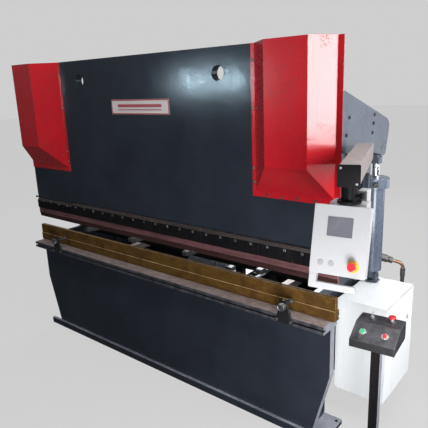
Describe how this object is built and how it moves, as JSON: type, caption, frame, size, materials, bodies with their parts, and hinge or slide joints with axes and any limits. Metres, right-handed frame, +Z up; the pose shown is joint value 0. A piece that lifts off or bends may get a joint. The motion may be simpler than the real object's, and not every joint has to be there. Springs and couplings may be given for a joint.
{
  "type": "press brake",
  "caption": "Hydraulic sheet-metal press brake with a rocker-driven vertical ram, bolted punch clamp, V die on a slotted table, back gauge, swing-arm pendant and foot-pedal stand.",
  "frame": {"origin": "on the floor, under the middle of the bending line (bottom face of the bed plate)", "axes": "+X to the operator's right along the machine, +Y from the operator to the back, +Z up"},
  "size_m": [3.8096, 1.5967, 2.579],
  "materials": {
    "machine_paint": "satin dark blue-grey enamel",
    "machined_steel": "ground steel",
    "die_steel": "oiled steel with a golden brown film",
    "punch_steel": "reddish brown planed steel",
    "black_steel": "black oxide",
    "bright_steel": "zinc-plated or turned steel",
    "chrome_rod": "hard chrome",
    "red_paint": "gloss red enamel",
    "white_paint": "semi-gloss white powder coat",
    "arm_paint": "warm grey paint",
    "black_plastic": "matt black",
    "plate_white": "printed white plate",
    "screen_grey": "switched-off display",
    "plug_white": "white plastic",
    "estop_red": "glossy red",
    "button_green": "glossy green",
    "hose_rubber": "black rubber cover",
    "unit_paint": "grey enamel",
    "gauge_metal": "milled aluminium",
    "gauge_paint": "black enamel"
  },
  "bodies": {
    "frame": {"side_frame_right": "machine_paint", "side_frame_left": "machine_paint", "bed_plate": "machine_paint", "feet": "machine_paint", "table_rail": "machined_steel", "rear_beams": "machine_paint", "die": "die_steel", "shaft_bearings": "machine_paint", "ram_gibs": "machined_steel", "cylinder_right": "machine_paint", "cylinder_left": "machine_paint", "cylinder_brackets": "machine_paint", "oil_tank": "unit_paint", "pump_motor": "unit_paint", "valve_block": "gauge_metal", "port_pipes": "bright_steel", "hoses": "hose_rubber", "cabinet_body": "white_paint", "arm_bracket": "machine_paint", "gauge_rails": "machined_steel", "gauge_motor": "unit_paint", "stand_post": "black_steel", "stand_box": "black_steel"},
    "ram": {"ram_plate": "machine_paint", "ram_shoes": "black_steel", "ram_yokes": "machine_paint", "clamp_strips": "black_steel", "clamp_bolts": "bright_steel", "punch": "punch_steel", "nameplate": "plate_white", "cover_right": "red_paint", "cover_left": "red_paint", "cover_screws": "bright_steel"},
    "rocker_shaft": {"torsion_tube": "machined_steel", "rocker_right": "machine_paint", "rocker_left": "machine_paint", "rocker_pins": "bright_steel"},
    "rod_right": {"piston_rod_right": "chrome_rod"},
    "rod_left": {"piston_rod_left": "chrome_rod"},
    "door": {"cabinet_door": "white_paint"},
    "latch": {"door_latch": "bright_steel"},
    "arm": {"arm": "arm_paint", "arm_cap": "black_plastic"},
    "pendant": {"pendant_swivel": "black_plastic", "pendant_case": "white_paint", "pendant_screen": "screen_grey", "pendant_fittings": "plug_white"},
    "pendant_estop": {"pendant_estop": "estop_red"},
    "green_button": {"stand_button_green": "button_green"},
    "red_button": {"stand_button_red": "estop_red"},
    "mushroom": {"stand_mushroom": "estop_red"},
    "key": {"stand_key": "bright_steel"},
    "pedal": {"foot_pedal": "black_plastic"},
    "stop_left": {"front_stop_left": "black_steel"},
    "stop_right": {"front_stop_right": "black_steel"},
    "spindle_left": {"stop_spindle_left": "bright_steel"},
    "spindle_right": {"stop_spindle_right": "bright_steel"},
    "gauge": {"gauge_beam": "gauge_paint", "gauge_fingers": "gauge_metal"},
    "gauge_screw": {"gauge_screw": "bright_steel"}
  },
  "joints": [
    {"name": "ram_slide", "type": "slide", "parent": "frame", "child": "ram", "axis": [0, 0, -1], "range_m": [0, 0.085]},
    {"name": "rocker_swing", "type": "hinge", "parent": "frame", "child": "rocker_shaft", "pos_m": [0, 0.31897, 1.969], "axis": [1, 0, 0], "range_deg": [0, 16.3]},
    {"name": "rod_right_slide", "type": "slide", "parent": "frame", "child": "rod_right", "axis": [0, 0, 1], "range_m": [0, 0.12845]},
    {"name": "rod_left_slide", "type": "slide", "parent": "frame", "child": "rod_left", "axis": [0, 0, 1], "range_m": [0, 0.12845]},
    {"name": "door_hinge", "type": "hinge", "parent": "frame", "child": "door", "pos_m": [1.7795, 0.3555, 0.5365], "axis": [0, 0, -1], "range_deg": [0, 95]},
    {"name": "latch_turn", "type": "hinge", "parent": "door", "child": "latch", "pos_m": [1.7784, 0.746, 0.692], "axis": [1, 0, 0], "range_deg": [0, 90]},
    {"name": "arm_swing", "type": "hinge", "parent": "frame", "child": "arm", "pos_m": [1.633, 0.249, 1.876], "axis": [0, 0, 1], "range_deg": [-12, 69]},
    {"name": "pendant_turn", "type": "hinge", "parent": "arm", "child": "pendant", "pos_m": [1.86539, -0.46409, 1.876], "axis": [0, 0, 1], "range_deg": [-45, 45]},
    {"name": "pendant_estop_push", "type": "slide", "parent": "pendant", "child": "pendant_estop", "axis": [-0.1303, 0.9636, -0.2334], "range_m": [0, 0.005], "stiffness_N_per_m": 600},
    {"name": "green_push", "type": "slide", "parent": "frame", "child": "green_button", "axis": [-0.0432, 0.4634, -0.8851], "range_m": [0, 0.004], "stiffness_N_per_m": 600},
    {"name": "red_push", "type": "slide", "parent": "frame", "child": "red_button", "axis": [-0.0432, 0.4634, -0.8851], "range_m": [0, 0.004], "stiffness_N_per_m": 600},
    {"name": "mushroom_push", "type": "slide", "parent": "frame", "child": "mushroom", "axis": [0, 0, -1], "range_m": [0, 0.006], "stiffness_N_per_m": 600},
    {"name": "key_turn", "type": "hinge", "parent": "frame", "child": "key", "pos_m": [1.85986, -0.09743, 1.044], "axis": [0, 0, -1], "range_deg": [0, 90]},
    {"name": "pedal_press", "type": "hinge", "parent": "frame", "child": "pedal", "pos_m": [1.9194, -0.19733, 0.038], "axis": [0.9957, 0.0929, 0], "range_deg": [0, 8], "stiffness_Nm_per_rad": 15, "springref_deg": -14.32},
    {"name": "stop_left_slide", "type": "slide", "parent": "frame", "child": "stop_left", "axis": [1, 0, 0], "range_m": [-0.32, 0.6]},
    {"name": "stop_right_slide", "type": "slide", "parent": "frame", "child": "stop_right", "axis": [1, 0, 0], "range_m": [-0.6, 0.2]},
    {"name": "spindle_left_turn", "type": "hinge", "parent": "stop_left", "child": "spindle_left", "pos_m": [-1.18, -0.1, 0.983], "axis": [0, 1, 0], "continuous": true},
    {"name": "spindle_right_turn", "type": "hinge", "parent": "stop_right", "child": "spindle_right", "pos_m": [1.3, -0.1, 0.983], "axis": [0, 1, 0], "continuous": true},
    {"name": "gauge_slide", "type": "slide", "parent": "frame", "child": "gauge", "axis": [0, 1, 0], "range_m": [-0.04, 0.3]},
    {"name": "gauge_screw_turn", "type": "hinge", "parent": "frame", "child": "gauge_screw", "pos_m": [0.6, 0.4, 0.77], "axis": [0, 1, 0], "range_deg": [-1441, 10801]}
  ],
  "couplings": [
    {"joint": "rocker_swing", "follows": "ram_slide", "rad_per_m": 3.3446},
    {"joint": "rod_right_slide", "follows": "ram_slide", "ratio": 1.51},
    {"joint": "rod_left_slide", "follows": "ram_slide", "ratio": 1.51},
    {"joint": "gauge_screw_turn", "follows": "gauge_slide", "rad_per_m": 628.32}
  ]
}
